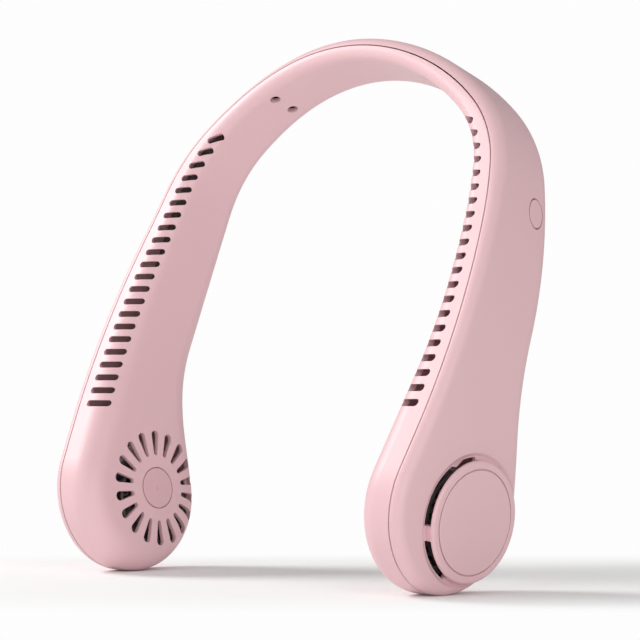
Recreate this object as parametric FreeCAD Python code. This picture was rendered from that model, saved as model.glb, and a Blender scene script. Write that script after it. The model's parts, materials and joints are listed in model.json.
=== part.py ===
import FreeCAD, Part
import math
import os

V = FreeCAD.Vector

# Neck fan: a horseshoe band that ends in two fan pods.
# It is laid out in the plane of the band (X across, Y to the back, Z along its height)
# and is leant back as it stands at the very end. Lengths are millimetres.

# Inner face of the band, next to the neck: nape, shoulder and arm arcs,
# then a straight stretch past the pod
inner_nape_radius = 84.6
inner_nape_deg = 43.0
inner_shoulder_radius = 42.0
inner_shoulder_deg = 80.8
inner_arm_radius = 262.8
arm_foot_rise = 38.7

# Outer face of the band: its arcs are larger than those of the inner face
nape_thickness = 9.1
nape_radius_gain = 14.8
nape_deg_gain = 1.4
shoulder_radius_gain = 11.6
shoulder_deg_gain = -3.0
arm_radius_gain = 26.7

# Side outline of the band: round pod, straight tapers, long arcs to the nape
pod_tilt_deg = 8.0
pod_height = 30.0
pod_radius = 29.2
front_taper_deg = 10.3
front_taper_top = 128.0
front_arc_radius = 218.0
back_taper_deg = 19.0
back_taper_top = 57.0
back_waist_radius = 80.0
back_rise_deg = 6.0
back_arc_radius = 400.0
lean_deg = 15.9

# Corner radii of the band, from the pod to the nape
outer_pod_round = 3.5
outer_arm_round = 4.0
outer_shoulder_round = 6.0
outer_nape_round = 4.6
inner_pod_round = 9.0
inner_arm_round = 5.0
inner_nape_round = 3.9

# Shell
wall = 1.8
fit_gap = 0.3
seam_inset = 3.8
seam_gap = 0.45
overrun = 20.0
loop_tolerance_share = 0.001

# Air slots: cuts across the front rim at even heights that end on its inner corner.
# They are level at the arms, and their inner ends rise where the band leans in to the nape.
left_slot_count = 22
right_slot_count = 21
slot_pitch = 5.34
slot_width = 2.25
slot_depth = 4.0
slot_low = 58.1
slot_from_seam = 4.2
slot_wrap = 3.4
slot_tilt_share = 0.4

# Pod: fan axis and inner grille
fan_drop = 3.4
fan_setback = 6.7
grille_rise = 4.2
grille_advance = 1.2
grille_slots = 18
grille_margin = 7.4
grille_slot_length = 9.4
grille_inner_width = 1.75
grille_outer_width = 3.5
grille_depth = 6.0
grille_turn_deg = -7.0
badge_radius = 7.45
badge_depth = 0.9
badge_gap = 0.45
dot_radius = 0.7
dot_rise = 0.3
dot_spacing = 3.4

# Pod: raised outer cap in a shallow moat, with intake openings between them
cap_margin = 8.8
cap_rise = 2.5
cap_wall = 1.2
cap_side_wall = 1.8
cap_edge_round = 1.0
moat_floor_width = 1.3
moat_slope_width = 1.0
moat_depth = 0.7
intake_width = 0.75
intake_start_deg = -165.0
intake_end_deg = -12.0
bridge_deg = -65.0
bridge_width = 5.0
cap_disc_margin = 3.1
cap_disc_depth = 0.5
cap_disc_gap = 0.45
cap_disc_crown = 0.15

# Impeller
impeller_margin = 12.6
blade_count = 24
blade_length = 4.0
blade_wall = 0.8
blade_bow = 1.5
blade_gap_inner = 1.2
blade_height = 12.6
tie_ring_width = 1.3
tie_ring_height = 0.9
web_wall = 1.0
hub_margin = 1.8
hub_wall = 0.75
hub_height = 9.4
hub_face = 1.0

# Motor
can_wall = 0.8
can_height = 8.2
magnet_wall = 1.1
magnet_height = 6.4
magnet_gap = 0.45
shaft_radius = 1.0
shaft_length = 10.4
bush_clearance = 0.04
bush_radius = 2.2
post_radius = 3.2
post_foot_gap = 1.4
stator_height = 4.2
stator_lift = 0.6
pole_count = 9
pole_tip_wall = 1.0
yoke_wall = 1.4
pole_width = 1.2
pole_tip_share = 0.72
coil_width = 2.4
coil_overhang = 0.7
coil_gap = 0.2
motor_board_margin = 1.25
motor_board_wall = 0.8
motor_board_lift = 1.0
bracket_wall = 1.2
bracket_disc_radius = 8.0
bracket_arm_count = 3
bracket_arm_width = 5.0
bracket_boss_gap = 1.0
motor_screw_radius = 0.75
motor_screw_head_radius = 1.5
motor_screw_head = 1.0
motor_screw_grip = 1.6
screw_clearance = 0.05
bracket_boss_radius = 2.0

# Scroll wall round the impeller
scroll_wall = 1.0
scroll_gap = 1.2
scroll_step = 1.5
scroll_arcs = 3

# Air duct, cells and pads in the arms
duct_wall = 1.2
duct_back = -0.4
cell_from_board = 2.0
cell_length = 44.0
cell_wall = 9.0
cell_width = 10.5
cell_front = 2.6
cell_round = 1.2
cell_tab_length = 2.0
pad_least = 0.4
pad_margin = 4.0

# Power button, switch and main board in the right arm
button_deg = 80.3
button_setback = 11.6
button_length = 10.4
button_width = 7.0
button_gap = 0.45
button_travel = 0.5
button_flange_wall = 0.7
button_flange_length = 13.0
button_flange_width = 5.0
button_stem_radius = 1.5
plunger_radius = 1.1
plunger_clearance = 0.1
plunger_length = 1.8
switch_size = 4.5
switch_height = 2.0
board_depth = 8.9
board_wall = 1.0
board_length = 30.0
board_width = 15.6
board_front = 1.0
board_past_button = 9.5
board_post_radius = 1.6
board_post_inset = 3.0

# Charging socket on the back edge of the right arm
usb_width = 8.94
usb_height = 3.26
usb_length = 7.3
usb_skin = 0.3
usb_tongue_width = 6.69
usb_tongue_wall = 0.7
usb_tongue_gap = 0.8
usb_from_button = -9.5
usb_recess = 0.5
usb_opening_gap = 0.3

# Parts on the board
chip_size = 4.0
chip_height = 0.9
coil_choke_size = 4.4
coil_choke_height = 2.0
lead_socket_length = 5.0
lead_socket_width = 3.4
lead_socket_height = 2.6

# Leads along the inside of the outer shell
lead_radius = 0.6
lead_depth = 1.4
lead_spacing = 1.5
motor_lead_deg = 95.5
cell_lead_deg = 82.5
board_lead_deg = 62.0
right_lead_end_deg = 82.0

# Screws that hold the two shells together at the nape
screw_deg = 26.3
screw_setbacks = (-2.5, 7.4)
screw_well_radius = 2.0
screw_well_depth = 3.2
screw_well_floor = 1.0
screw_well_wall = 0.8
screw_head_radius = 1.7
screw_head = 1.2
screw_radius = 0.85
screw_length = 5.0
screw_hole_radius = 0.95
screw_boss_radius = 2.2
screw_recess_width = 0.5
screw_recess_depth = 0.6

half_turn = 180.0
full_turn = 360.0
right_angle = 90.0
shapes = {}


# Sizes that follow from the ones above
fan_height = pod_height - fan_drop
grille_outer_radius = pod_radius - grille_margin
grille_inner_radius = grille_outer_radius - grille_slot_length
cap_radius = pod_radius - cap_margin
moat_floor_radius = cap_radius + moat_floor_width
moat_top_radius = moat_floor_radius + moat_slope_width
cap_disc_radius = cap_radius - cap_disc_margin
impeller_radius = pod_radius - impeller_margin
blade_root_radius = impeller_radius - blade_length
hub_radius = blade_root_radius - hub_margin
can_radius = hub_radius - hub_wall
pole_tip_radius = can_radius - can_wall - magnet_wall - magnet_gap
yoke_radius = post_radius + yoke_wall
motor_board_radius = can_radius - motor_board_margin
bracket_screw_radius = cap_radius - cap_side_wall - bracket_boss_radius - bracket_boss_gap
outer_nape_radius = inner_nape_radius + nape_radius_gain
outer_nape_deg = inner_nape_deg + nape_deg_gain
outer_shoulder_radius = inner_shoulder_radius + shoulder_radius_gain
outer_shoulder_deg = inner_shoulder_deg + shoulder_deg_gain
outer_arm_radius = inner_arm_radius + arm_radius_gain
pod_deg = right_angle + pod_tilt_deg


def turn(centre, radius, deg):
    """Point at a radius from a centre in the band's plane, the angle counted from straight up."""
    a = math.radians(deg)
    return (centre[0] + radius * math.sin(a), centre[1] + radius * math.cos(a))


def ring_rise(radii, degs):
    """Height from the foot of the arm arc up to the middle of the nape."""
    starts = (0.0,) + tuple(degs[:-1])
    arcs = zip(radii, starts, degs)
    return sum(r * (math.cos(math.radians(a)) - math.cos(math.radians(b))) for r, a, b in arcs)


def ring_curve(radii, degs, apex):
    """Three tangent arcs from the nape to the pod: their centres, radii and end angles."""
    centres = [(0.0, apex - radii[0])]
    for i in range(len(radii) - 1):
        joint = turn(centres[i], radii[i], degs[i])
        centres.append(turn(joint, -radii[i + 1], degs[i]))
    return centres, radii, (0.0,) + tuple(degs)


inner_radii = (inner_nape_radius, inner_shoulder_radius, inner_arm_radius)
inner_degs = (inner_nape_deg, inner_shoulder_deg, pod_deg)
outer_radii = (outer_nape_radius, outer_shoulder_radius, outer_arm_radius)
outer_degs = (outer_nape_deg, outer_shoulder_deg, pod_deg)
inner_apex_height = pod_height + arm_foot_rise + ring_rise(inner_radii, inner_degs)
outer_apex_height = inner_apex_height + nape_thickness
INNER = ring_curve(inner_radii, inner_degs, inner_apex_height)
OUTER = ring_curve(outer_radii, outer_degs, outer_apex_height)


def ring_point(curve, deg):
    """Point of a ring curve where its outward normal has the given angle."""
    centres, radii, degs = curve
    i = 0
    while i < len(radii) - 1 and deg > degs[i + 1]:
        i += 1
    return turn(centres[i], radii[i], deg)


def straight_x(curve, height):
    """Sideways place of a ring curve's straight stretch at a height."""
    end = ring_point(curve, pod_deg)
    return end[0] - (end[1] - height) * math.tan(math.radians(pod_tilt_deg))


def ring_at_height(curve, height):
    """Sideways place of a ring curve at a height, and the angle of its outward normal there."""
    centres, radii, degs = curve
    for i in range(len(radii)):
        if height >= turn(centres[i], radii[i], degs[i + 1])[1]:
            deg = math.degrees(math.acos((height - centres[i][1]) / radii[i]))
            return turn(centres[i], radii[i], deg)[0], deg
    return straight_x(curve, height), pod_deg


def arm_x(curve, height):
    """Sideways place of a ring curve's arm arc at a height."""
    centre, radius = curve[0][-1], curve[1][-1]
    return centre[0] + math.sqrt(radius ** 2 - (height - centre[1]) ** 2)


def ring_edges(curve, offset, foot):
    """Both halves of a ring curve as edges, moved outwards by an offset, down to a foot height."""
    centres, radii, degs = curve
    edges = []
    for side in (1, -1):
        for i in range(len(radii)):
            middle = (degs[i] + degs[i + 1]) / 2
            points = [turn(centres[i], radii[i] + offset, d) for d in (degs[i], middle, degs[i + 1])]
            edges.append(Part.Arc(*[V(side * p[0], 0, p[1]) for p in points]).toShape())
        end = points[-1]
        base = end[0] - (end[1] - foot) * math.tan(math.radians(pod_tilt_deg))
        edges.append(Part.makeLine(V(side * end[0], 0, end[1]), V(side * base, 0, foot)))
    return edges, base


def wire_face(edges):
    return Part.Face(Part.Wire(Part.__sortEdges__(edges)))


def through_depth(face):
    """Prism of a face of the band's plane, past the front and the back of the pods."""
    reach = pod_radius + overrun
    solid = face.extrude(V(0, 2 * reach, 0))
    solid.translate(V(0, -reach, 0))
    return solid


def inside_ring(curve, offset):
    """Prism of everything inside a ring curve."""
    edges, base = ring_edges(curve, offset, -overrun)
    edges.append(Part.makeLine(V(base, 0, -overrun), V(-base, 0, -overrun)))
    return through_depth(wire_face(edges))


def side_turn(centre, radius, deg):
    """Point of the side outline as (depth, height), the angle counted from straight back."""
    a = math.radians(deg)
    return (centre[0] + radius * math.cos(a), centre[1] + radius * math.sin(a))


def side_centres():
    """Centres of the front arc, the waist and the back arc of the side outline."""
    pod = (0.0, pod_height)
    front = side_turn(pod, pod_radius, half_turn - front_taper_deg)
    rise = (front_taper_top - front[1]) * math.tan(math.radians(front_taper_deg))
    front_centre = side_turn((front[0] + rise, front_taper_top), front_arc_radius,
                             half_turn - front_taper_deg)
    back = side_turn(pod, pod_radius, back_taper_deg)
    fall = (back_taper_top - back[1]) * math.tan(math.radians(back_taper_deg))
    waist_centre = side_turn((back[0] - fall, back_taper_top), back_waist_radius, back_taper_deg)
    waist_end = side_turn(waist_centre, back_waist_radius, half_turn - back_rise_deg)
    back_centre = side_turn(waist_end, back_arc_radius, half_turn - back_rise_deg)
    return pod, front_centre, waist_centre, back_centre


POD, FRONT_CENTRE, WAIST_CENTRE, BACK_CENTRE = side_centres()


def front_depth(height):
    """Depth of the front face at a height above the pod."""
    if height > front_taper_top:
        return FRONT_CENTRE[0] + math.sqrt(front_arc_radius ** 2 - (height - FRONT_CENTRE[1]) ** 2)
    start = side_turn(POD, pod_radius, half_turn - front_taper_deg)
    return start[0] + (height - start[1]) * math.tan(math.radians(front_taper_deg))


def back_depth(height):
    """Depth of the back face at a height on the arms or the nape."""
    return BACK_CENTRE[0] + math.sqrt(back_arc_radius ** 2 - (height - BACK_CENTRE[1]) ** 2)


def side_face(inset):
    """Side outline of the band, drawn in by an inset."""
    top = outer_apex_height + overrun
    front_radius = front_arc_radius + inset
    waist_radius = back_waist_radius + inset
    back_radius = back_arc_radius - inset
    front_end = math.degrees(math.asin((top - FRONT_CENTRE[1]) / front_radius))
    back_end = math.degrees(math.asin((top - BACK_CENTRE[1]) / back_radius))
    spans = ((POD, pod_radius - inset, back_taper_deg, -half_turn - front_taper_deg),
             (FRONT_CENTRE, front_radius, -front_taper_deg, front_end),
             (BACK_CENTRE, back_radius, back_end, -back_rise_deg),
             (WAIST_CENTRE, waist_radius, half_turn - back_rise_deg, half_turn + back_taper_deg))
    arcs = []
    for centre, radius, first, last in spans:
        points = [side_turn(centre, radius, d) for d in (first, (first + last) / 2, last)]
        arcs.append([V(0, p[0], p[1]) for p in points])
    edges = [Part.Arc(*points).toShape() for points in arcs]
    pod, front, back, waist = arcs
    for start, end in ((pod[2], front[0]), (front[2], back[0]), (waist[2], pod[0])):
        edges.append(Part.makeLine(start, end))
    return wire_face(edges)


def band(inset):
    """The whole band with sharp corners, drawn in by an inset on every side."""
    edges, outer_base = ring_edges(OUTER, -inset, -overrun)
    inner_edges, inner_base = ring_edges(INNER, inset, -overrun)
    edges += inner_edges
    for side in (1, -1):
        edges.append(Part.makeLine(V(side * outer_base, 0, -overrun), V(side * inner_base, 0, -overrun)))
    reach = outer_nape_radius + overrun
    side = side_face(inset).extrude(V(2 * reach, 0, 0))
    side.translate(V(-reach, 0, 0))
    return through_depth(wire_face(edges)).common(side)


def blend(stops, height):
    """Value at a height between rising (height, value) stops, held past both ends."""
    if height <= stops[0][0]:
        return stops[0][1]
    for (low, first), (high, last) in zip(stops, stops[1:]):
        if height <= high:
            return first + (last - first) * (height - low) / (high - low)
    return stops[-1][1]


def round_stops():
    """Corner radius against height, for the outer and the inner corner."""
    arm = front_taper_top
    outer_shoulder = ring_point(OUTER, outer_nape_deg)[1]
    inner_shoulder = ring_point(INNER, inner_nape_deg)[1]
    pod_top = ring_point(INNER, pod_deg)[1]
    outer = ((2 * pod_height, outer_pod_round), (arm, outer_arm_round),
             (outer_shoulder, outer_shoulder_round), (outer_apex_height, outer_nape_round))
    inner = ((pod_top, inner_pod_round), (arm, inner_arm_round), (inner_shoulder, inner_nape_round))
    return outer, inner


def corner_loop(edges):
    """Corner edges in order round the band, each with its two end points."""
    near = overrun * loop_tolerance_share
    left = [(i, e.valueAt(e.FirstParameter), e.valueAt(e.LastParameter)) for i, e in edges]
    loop = [left.pop(0)]
    while left:
        tip = loop[-1][2]
        i, first, last = min(left, key=lambda row: min(tip.distanceToPoint(p) for p in row[1:]))
        left.remove((i, first, last))
        if tip.distanceToPoint(first) > near:
            first, last = last, first
        loop.append((i, first, last))
    return loop


def corner_edges(solid, ring_wire):
    """Numbered edges of the long corner that runs along a ring curve."""
    edges = []
    for i, edge in enumerate(solid.Edges):
        middle = (edge.FirstParameter + edge.LastParameter) / 2
        along = edge.tangentAt(middle)
        if max(abs(along.x), abs(along.y)) > 1 - loop_tolerance_share and isinstance(edge.Curve, Part.Line):
            continue
        spot = edge.valueAt(middle)
        gap = ring_wire.distToShape(Part.Vertex(spot.x, 0, spot.z))[0]
        if gap < overrun * loop_tolerance_share:
            edges.append((i + 1, edge))
    return edges


def filleted(solid, edges, stops, inset):
    """The solid with one corner loop rounded, its radius following the stops less the inset."""
    picks = []
    for i, first, last in corner_loop(edges):
        picks.append((i, blend(stops, first.z) - inset, blend(stops, last.z) - inset))
    doc = FreeCAD.newDocument("rounding")
    base = doc.addObject("Part::Feature", "base")
    base.Shape = solid
    fillet = doc.addObject("Part::Fillet", "fillet")
    fillet.Base = base
    fillet.Edges = picks
    doc.recompute()
    result = fillet.Shape.copy()
    FreeCAD.closeDocument(doc.Name)
    return result


def rounded(inset):
    """The band drawn in by an inset, with corner radii that swell towards the pods."""
    solid = band(inset)
    outer_stops, inner_stops = round_stops()
    rings = ((OUTER, -inset, outer_stops), (INNER, inset, inner_stops))
    for curve, offset, stops in rings:
        ring_wire = Part.Compound(ring_edges(curve, offset, -overrun)[0])
        solid = filleted(solid, corner_edges(solid, ring_wire), stops, inset)
    return solid


def cylinder(radius, low, high, x=0.0, y=0.0):
    return Part.makeCylinder(radius, high - low, V(x, y, low))


def ring(inner, outer, low, high):
    return cylinder(outer, low, high).cut(cylinder(inner, low, high))


def block(x, y, z):
    """Box from (low, high) pairs."""
    return Part.makeBox(x[1] - x[0], y[1] - y[0], z[1] - z[0], V(x[0], y[0], z[0]))


def fused(solids):
    return solids[0].multiFuse(solids[1:]).removeSplitter()


def moved(shape, frame):
    result = shape.copy()
    result.Placement = frame.multiply(result.Placement)
    return result


def turned(shape, deg):
    result = shape.copy()
    result.rotate(V(0, 0, 0), V(0, 0, 1), deg)
    return result


def mirrored(shape):
    return shape.mirror(V(0, 0, 0), V(1, 0, 0))


def ring_frame(point, deg, depth):
    """Frame on the band: Z along the outward normal, X down along the band, Y to the back."""
    return FreeCAD.Placement(V(point[0], depth, point[1]), FreeCAD.Rotation(V(0, 1, 0), deg))


# Pod frame: on the fan axis, at the outside of the inner face, Z towards the outer face
fan_outer = (straight_x(OUTER, fan_height), fan_height)
pod_inner = ring_point(INNER, pod_deg)
pod_normal = (math.sin(math.radians(pod_deg)), math.cos(math.radians(pod_deg)))
pod_wall = sum((o - i) * n for o, i, n in zip(fan_outer, pod_inner, pod_normal))
POD_FRAME = ring_frame(turn(fan_outer, -pod_wall, pod_deg), pod_deg, fan_setback)
grille_shift = FreeCAD.Placement(V(-grille_rise, -grille_advance, 0), FreeCAD.Rotation())
GRILLE_FRAME = POD_FRAME.multiply(grille_shift)
BUTTON_FRAME = ring_frame(ring_point(OUTER, button_deg), button_deg, button_setback)
USB_FRAME = ring_frame(ring_point(OUTER, button_deg), button_deg, 0.0)
usb_mouth = back_depth(ring_point(OUTER, button_deg)[1]) - usb_recess


def ring_wall(point, deg, inset=0.0):
    """Way from a point of the inner face to the outer face, or to its curve drawn in by an inset."""
    reach = turn(point, inner_nape_radius, deg)
    line = Part.makeLine(V(point[0], 0, point[1]), V(reach[0], 0, reach[1]))
    outer_ring = Part.Compound(ring_edges(OUTER, -inset, -overrun)[0])
    hit = line.distToShape(outer_ring)[1][0][0]
    return hit.distanceToPoint(V(point[0], 0, point[1]))


def stadium(length, width, low, high):
    """Round-ended bar along X, centred, from low to high in Z."""
    half = (length - width) / 2
    bar = block((-half, half), (-width / 2, width / 2), (low, high))
    ends = [cylinder(width / 2, low, high, x) for x in (-half, half)]
    return fused([bar] + ends)


def oval(length, width, low, high):
    """Oval prism, its length along X, centred, from low to high in Z."""
    edge = Part.Ellipse(V(0, 0, low), length / 2, width / 2).toShape()
    return wire_face([edge]).extrude(V(0, 0, high - low))


def rim_slots(count):
    """Cutters of one arm's air slots, from near the seam to the inner corner."""
    corner_stops = round_stops()[1]
    origin = V(0, 0, 0)
    cutters = []
    for i in range(count):
        height = slot_low + i * slot_pitch
        side, deg = ring_at_height(INNER, height)
        tilt = slot_tilt_share * max(0.0, right_angle - deg)
        corner = blend(corner_stops, height)
        inner_end = corner - math.sqrt(corner ** 2 - (corner - slot_wrap) ** 2)
        across = ring_wall((side, height), right_angle + tilt, seam_inset + slot_from_seam) - inner_end
        bar = stadium(math.hypot(across, slot_wrap), slot_width, -slot_depth, overrun)
        bar.rotate(origin, V(1, 0, 0), right_angle)
        bar.rotate(origin, V(0, 0, 1), -math.degrees(math.atan2(slot_wrap, across)))
        bar.translate(V(inner_end + across / 2, slot_wrap / 2, 0))
        bar.rotate(origin, V(0, 1, 0), tilt)
        bar.rotate(origin, V(1, 0, 0), lean_deg)
        bar.translate(V(side, front_depth(height), height))
        cutters.append(bar)
    return cutters


def grille_slots_cut():
    """Cutters of the radial grille: drop-shaped slots that widen outwards."""
    inner_half = grille_inner_width / 2
    outer_half = grille_outer_width / 2
    start = grille_inner_radius + inner_half
    end = grille_outer_radius - outer_half
    flare = math.asin((outer_half - inner_half) / (end - start))
    back, across = math.sin(flare), math.cos(flare)
    small = V(start - inner_half * back, inner_half * across, 0)
    large = V(end - outer_half * back, outer_half * across, 0)
    points = [V(small.x, -small.y, 0), V(start - inner_half, 0, 0), small,
              large, V(end + outer_half, 0, 0), V(large.x, -large.y, 0)]
    edges = [Part.Arc(*points[:3]).toShape(), Part.makeLine(points[2], points[3]),
             Part.Arc(*points[3:]).toShape(), Part.makeLine(points[5], points[0])]
    face = wire_face(edges)
    drop = face.extrude(V(0, 0, grille_depth + overrun))
    drop.translate(V(0, 0, -overrun))
    return [turned(drop, grille_turn_deg + i * full_turn / grille_slots) for i in range(grille_slots)]


def screw_frames():
    return [ring_frame(ring_point(INNER, screw_deg), screw_deg, depth) for depth in screw_setbacks]


screw_wall = ring_wall(ring_point(INNER, screw_deg), screw_deg)
well_end = screw_well_depth + screw_well_floor
screw_top = screw_well_depth - screw_head


def both_sides(solids):
    return solids + [mirrored(s) for s in solids]


def make_shells(body, cavity):
    """Inner shell with rim, slots and grille, and outer shell with the raised caps."""
    hollow = body.cut(cavity)
    inner = hollow.common(inside_ring(OUTER, -seam_inset - seam_gap))
    outer = hollow.cut(inside_ring(OUTER, -seam_inset))

    wells = [moved(cylinder(screw_well_radius + screw_well_wall, wall / 2, well_end), f)
             for f in screw_frames()]
    posts = board_posts()
    inner = inner.multiFuse(both_sides(wells) + posts)
    cuts = [moved(s, GRILLE_FRAME) for s in grille_slots_cut()]
    cuts.append(moved(cylinder(badge_radius + badge_gap, -overrun, badge_depth), GRILLE_FRAME))
    for f in screw_frames():
        cuts.append(moved(cylinder(screw_well_radius, -overrun, screw_well_depth), f))
        cuts.append(moved(cylinder(screw_hole_radius, 0.0, well_end + fit_gap), f))
    cuts = both_sides(cuts) + rim_slots(right_slot_count)
    cuts += [mirrored(s) for s in rim_slots(left_slot_count)]
    opening = stadium(usb_width + 2 * usb_opening_gap, usb_height + 2 * usb_opening_gap,
                      usb_mouth - usb_length, usb_mouth + overrun)
    cuts.append(moved(usb_turned(opening), USB_FRAME))
    shapes["inner_shell"] = inner.cut(cuts)

    bosses = []
    holes = []
    for f in screw_frames():
        bosses.append(moved(cylinder(screw_boss_radius, well_end, screw_wall - wall / 2), f))
        holes.append(moved(cylinder(screw_radius + screw_clearance, well_end, screw_tip + fit_gap), f))
    caps, hollows = cap_forms()
    bosses.append(moved(caps, POD_FRAME))
    holes += [moved(s, POD_FRAME) for s in hollows]
    pillars = bracket_bosses()
    outer = outer.multiFuse(both_sides(bosses)).cut(both_sides(holes))
    outer = outer.multiFuse(both_sides([moved(s, POD_FRAME) for s in pillars[0]]))
    outer = outer.cut(both_sides([moved(s, POD_FRAME) for s in pillars[1]]))
    button_hole = moved(oval(button_length + 2 * button_gap, button_width + 2 * button_gap,
                             -overrun, overrun), BUTTON_FRAME)
    shapes["outer_shell"] = outer.cut(button_hole)


cap_top = pod_wall + cap_rise
cap_ceiling = cap_top - cap_wall
bracket_top = cap_ceiling - bracket_wall
bracket_low = bracket_top - bracket_wall
screw_tip = screw_well_depth + screw_length


def cap_forms():
    """Solid of the raised cap, and the cuts of its hollow, its moat, its inlay and its intake openings."""
    cap = cylinder(cap_radius, pod_wall - wall, cap_top)
    rim = [e for e in cap.Edges if abs(e.BoundBox.ZMin - cap_top) < fit_gap and len(e.Vertexes) == 1]
    cap = cap.makeFillet(cap_edge_round, rim)
    low = pod_wall - wall - cap_rise
    hollow = cylinder(cap_radius - cap_side_wall, low, cap_ceiling)
    floor = pod_wall - moat_depth
    slope = (moat_top_radius - moat_floor_radius) / moat_depth
    cone = Part.makeCone(moat_floor_radius, moat_floor_radius + slope * (moat_depth + cap_rise),
                         moat_depth + cap_rise, V(0, 0, floor))
    moat = cone.cut(cylinder(cap_radius, floor, cap_top))
    pocket = cylinder(cap_disc_radius + cap_disc_gap, cap_top - cap_disc_depth, cap_top + overrun)
    sweep = intake_end_deg - intake_start_deg
    reach = cap_radius + intake_width
    sector = Part.makeCylinder(reach, cap_ceiling - low, V(0, 0, low), V(0, 0, 1), sweep)
    half = bridge_width / 2
    bridge = block((0.0, moat_top_radius), (-half, half), (low, cap_ceiling))
    intake = turned(sector, intake_start_deg).cut(turned(bridge, bridge_deg))
    return cap, [hollow, moat, pocket] + intake.Solids


def bracket_angles():
    return [i * full_turn / bracket_arm_count for i in range(bracket_arm_count)]


def bracket_bosses():
    """Pillars under the cap that carry the motor bracket, and their screw holes."""
    pillar = cylinder(bracket_boss_radius, bracket_top, cap_ceiling + cap_wall / 4, bracket_screw_radius)
    hole = cylinder(motor_screw_radius + screw_clearance, bracket_top, bracket_top + motor_screw_grip,
                    bracket_screw_radius)
    return ([turned(pillar, d) for d in bracket_angles()], [turned(hole, d) for d in bracket_angles()])


def usb_turned(shape):
    """Turns a shape drawn about Z so that it faces the back, at the socket's depth in the arm."""
    result = shape.copy()
    result.rotate(V(0, 0, 0), V(1, 0, 0), -right_angle)
    result.translate(V(usb_from_button, 0, usb_height / 2 - board_depth))
    return result


def board_spots():
    """Places of the two posts under the main board, along the band and across it."""
    low = board_past_button - board_length + board_post_inset
    high = board_past_button - board_post_inset
    return [(x, board_front + board_width / 2) for x in (low, high)]


def board_posts():
    posts = []
    for x, y in board_spots():
        top = -board_depth - board_wall
        post = cylinder(board_post_radius, top - overrun, top, x, y)
        posts.append(moved(post, USB_FRAME).common(BODY).cut(inner_skin()))
    return posts


def inner_skin():
    """Outer half of the inner wall, which a post stops short of."""
    return inside_ring(INNER, wall / 2)


def make_pod_covers():
    """Badge of the inner grille and inlaid disc of the cap."""
    disc = cylinder(cap_disc_radius, cap_top - cap_disc_depth, cap_top + cap_disc_crown)
    rim = [e for e in disc.Edges if abs(e.BoundBox.ZMin - cap_top - cap_disc_crown) < fit_gap / 2
           and len(e.Vertexes) == 1]
    disc = disc.makeFillet(cap_disc_crown, rim)
    both_pods("cap_disc", disc)
    badge = cylinder(badge_radius, 0.0, badge_depth)
    dot = cylinder(dot_radius, -dot_rise, badge_depth / 2)
    pair = [dot.translated(V(x, 0, 0)) for x in (-dot_spacing / 2, dot_spacing / 2)]
    shapes["right_grille_badge"] = moved(fused([badge] + pair), GRILLE_FRAME)
    shapes["left_grille_badge"] = mirrored(moved(fused([badge, dot]), GRILLE_FRAME))


def both_pods(name, shape):
    """One pod piece for each side, the left one mirrored."""
    placed = moved(shape, POD_FRAME)
    shapes["right_" + name] = placed
    shapes["left_" + name] = mirrored(placed)


blade_low = wall + blade_gap_inner
blade_high = blade_low + blade_height
hub_low = blade_high - hub_height - hub_face
can_low = hub_low + hub_face
can_floor = can_low + can_wall
post_low = can_floor + post_foot_gap
stator_low = post_low + stator_lift
stator_high = stator_low + stator_height
motor_board_low = stator_high + coil_overhang + motor_board_lift


def blade():
    """One bowed blade from the eye to the rim."""
    middle = (blade_root_radius + impeller_radius) / 2
    half = blade_wall / 2
    tip = impeller_radius - half
    sides = []
    for y in (-half, half):
        bow = Part.Arc(V(blade_root_radius, y, 0), V(middle, y + blade_bow, 0), V(tip, y, 0))
        sides.append(bow.toShape())
    ends = [Part.makeLine(V(x, -half, 0), V(x, half, 0)) for x in (blade_root_radius, tip)]
    solid = wire_face(sides + ends).extrude(V(0, 0, blade_height))
    solid.translate(V(0, 0, blade_low))
    return solid


def make_impeller():
    one = blade()
    blades = [turned(one, i * full_turn / blade_count) for i in range(blade_count)]
    tie_inner = impeller_radius - tie_ring_width
    rims = [ring(tie_inner, impeller_radius, low, low + tie_ring_height)
            for low in (blade_low, blade_high - tie_ring_height)]
    hub = cylinder(hub_radius, hub_low, blade_high - hub_face)
    hub = hub.cut(cylinder(can_radius, can_low, blade_high))
    middle = (blade_low + blade_high) / 2
    web = ring(can_radius, blade_root_radius + tie_ring_width, middle, middle + web_wall)
    both_pods("impeller", fused([hub, web] + rims + blades))


def make_rotor():
    can = cylinder(can_radius, can_low, can_low + can_height)
    can = can.cut(cylinder(can_radius - can_wall, can_floor, can_low + can_height))
    can = can.cut(cylinder(shaft_radius, can_low, can_floor))
    both_pods("rotor_can", can)
    magnet_outer = can_radius - can_wall
    magnet_low = stator_low + stator_height / 2 - magnet_height / 2
    both_pods("magnet_ring", ring(magnet_outer - magnet_wall, magnet_outer, magnet_low,
                                  magnet_low + magnet_height))
    both_pods("fan_shaft", cylinder(shaft_radius, can_low, can_low + shaft_length))


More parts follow.
